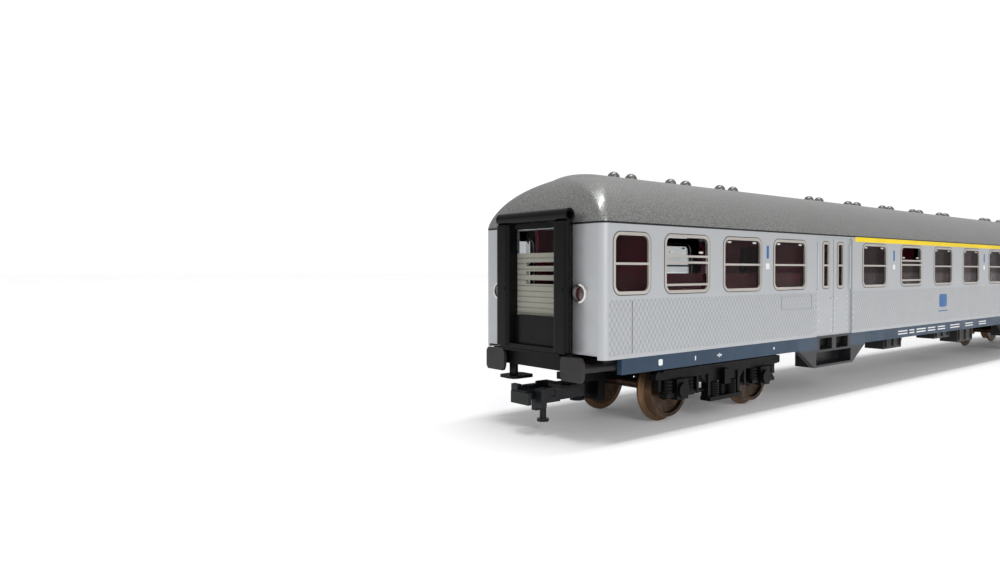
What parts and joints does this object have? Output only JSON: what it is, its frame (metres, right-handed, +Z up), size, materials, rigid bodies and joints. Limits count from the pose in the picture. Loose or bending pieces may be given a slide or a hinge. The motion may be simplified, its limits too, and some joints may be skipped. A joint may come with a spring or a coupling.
{
  "type": "model passenger coach",
  "caption": "Silver four-axle H0 passenger coach with grey roof, swivelling bogies, rolling wheelsets, rubber gangways and swinging hook couplings.",
  "frame": {"origin": "middle of the coach, on the plane that the wheel flanges stand on", "axes": "+X along the coach towards its rear end, +Y to its left side, +Z up"},
  "size_m": [0.2872, 0.0316, 0.0482],
  "materials": {
    "silver_paint": "satin metallic silver paint on moulded plastic",
    "roof_paint": "dark grey paint with a fine metallic speckle",
    "frame_metal": "bright silver print",
    "clear_glazing": "clear moulded plastic",
    "interior_maroon": "dark maroon self-coloured plastic",
    "ballast_steel": "plain steel strip",
    "blue_paint": "satin steel blue paint",
    "black_plastic": "satin black plastic",
    "charcoal_plastic": "dark grey plastic",
    "shutter_grey": "warm light grey plastic",
    "black_rubber": "smooth glossy black",
    "lamp_rim": "bright turned metal",
    "red_lens": "dark red clear plastic",
    "wheel_bronze": "brown burnished metal",
    "pivot_steel": "plain turned steel"
  },
  "bodies": {
    "coach": {"body_shell": "silver_paint", "roof": "roof_paint", "roof_ventilators": "roof_paint", "window_frames_left": "frame_metal", "window_frames_right": "frame_metal", "glazing_left": "clear_glazing", "glazing_right": "clear_glazing", "interior_moulding": "interior_maroon", "seats": "interior_maroon", "ballast_plate": "ballast_steel", "underframe": "black_plastic", "solebar_left": "blue_paint", "solebar_right": "blue_paint", "door_steps_front_left": "blue_paint", "door_steps_front_right": "blue_paint", "door_steps_rear_left": "blue_paint", "door_steps_rear_right": "blue_paint", "equipment_boxes": "charcoal_plastic", "air_tanks": "black_plastic", "roller_shutter_front": "shutter_grey", "roller_shutter_rear": "shutter_grey", "end_window_front": "clear_glazing", "end_window_rear": "clear_glazing", "gangway_rubber_front": "black_rubber", "gangway_rubber_rear": "black_rubber", "gangway_top_roll_front": "black_rubber", "gangway_top_roll_rear": "black_rubber", "bridge_plate_front": "black_plastic", "bridge_plate_rear": "black_plastic", "tail_lamp_rims": "lamp_rim", "tail_lamp_lenses": "red_lens", "headstock_front": "black_plastic", "headstock_rear": "black_plastic", "buffers_front": "charcoal_plastic", "buffers_rear": "charcoal_plastic", "bogie_pivot_front": "pivot_steel", "bogie_pivot_rear": "pivot_steel"},
    "bogie_front": {"bogie_frame_front": "black_plastic"},
    "coupler_front": {"coupler_body_front": "charcoal_plastic"},
    "coupler_hook_front": {"coupler_hook_front": "charcoal_plastic"},
    "bogie_rear": {"bogie_frame_rear": "black_plastic"},
    "coupler_rear": {"coupler_body_rear": "charcoal_plastic"},
    "coupler_hook_rear": {"coupler_hook_rear": "charcoal_plastic"},
    "wheelset_1": {"axle_1": "wheel_bronze", "wheels_1": "wheel_bronze", "wheel_bushes_1": "black_plastic"},
    "wheelset_2": {"axle_2": "wheel_bronze", "wheels_2": "wheel_bronze", "wheel_bushes_2": "black_plastic"},
    "wheelset_3": {"axle_3": "wheel_bronze", "wheels_3": "wheel_bronze", "wheel_bushes_3": "black_plastic"},
    "wheelset_4": {"axle_4": "wheel_bronze", "wheels_4": "wheel_bronze", "wheel_bushes_4": "black_plastic"}
  },
  "joints": [
    {"name": "bogie_front_swivel", "type": "hinge", "parent": "coach", "child": "bogie_front", "pos_m": [-0.1006, 0, 0.0097], "axis": [0, 0, 1], "range_deg": [-15, 15]},
    {"name": "coupler_front_swing", "type": "hinge", "parent": "bogie_front", "child": "coupler_front", "pos_m": [-0.1294, 0, 0.0068], "axis": [0, 0, 1], "range_deg": [-10, 10]},
    {"name": "coupler_hook_front_lift", "type": "hinge", "parent": "coupler_front", "child": "coupler_hook_front", "pos_m": [-0.1381, 0, 0.0071], "axis": [0, 1, 0], "range_deg": [0, 8]},
    {"name": "bogie_rear_swivel", "type": "hinge", "parent": "coach", "child": "bogie_rear", "pos_m": [0.1006, 0, 0.0097], "axis": [0, 0, 1], "range_deg": [-15, 15]},
    {"name": "coupler_rear_swing", "type": "hinge", "parent": "bogie_rear", "child": "coupler_rear", "pos_m": [0.1294, 0, 0.0068], "axis": [0, 0, 1], "range_deg": [-10, 10]},
    {"name": "coupler_hook_rear_lift", "type": "hinge", "parent": "coupler_rear", "child": "coupler_hook_rear", "pos_m": [0.1381, 0, 0.0071], "axis": [0, -1, 0], "range_deg": [0, 8]},
    {"name": "wheelset_1_spin", "type": "hinge", "parent": "bogie_front", "child": "wheelset_1", "pos_m": [-0.1146, 0, 0.0065], "axis": [0, 1, 0], "continuous": true},
    {"name": "wheelset_2_spin", "type": "hinge", "parent": "bogie_front", "child": "wheelset_2", "pos_m": [-0.0866, 0, 0.0065], "axis": [0, 1, 0], "continuous": true},
    {"name": "wheelset_3_spin", "type": "hinge", "parent": "bogie_rear", "child": "wheelset_3", "pos_m": [0.0866, 0, 0.0065], "axis": [0, 1, 0], "continuous": true},
    {"name": "wheelset_4_spin", "type": "hinge", "parent": "bogie_rear", "child": "wheelset_4", "pos_m": [0.1146, 0, 0.0065], "axis": [0, 1, 0], "continuous": true}
  ]
}
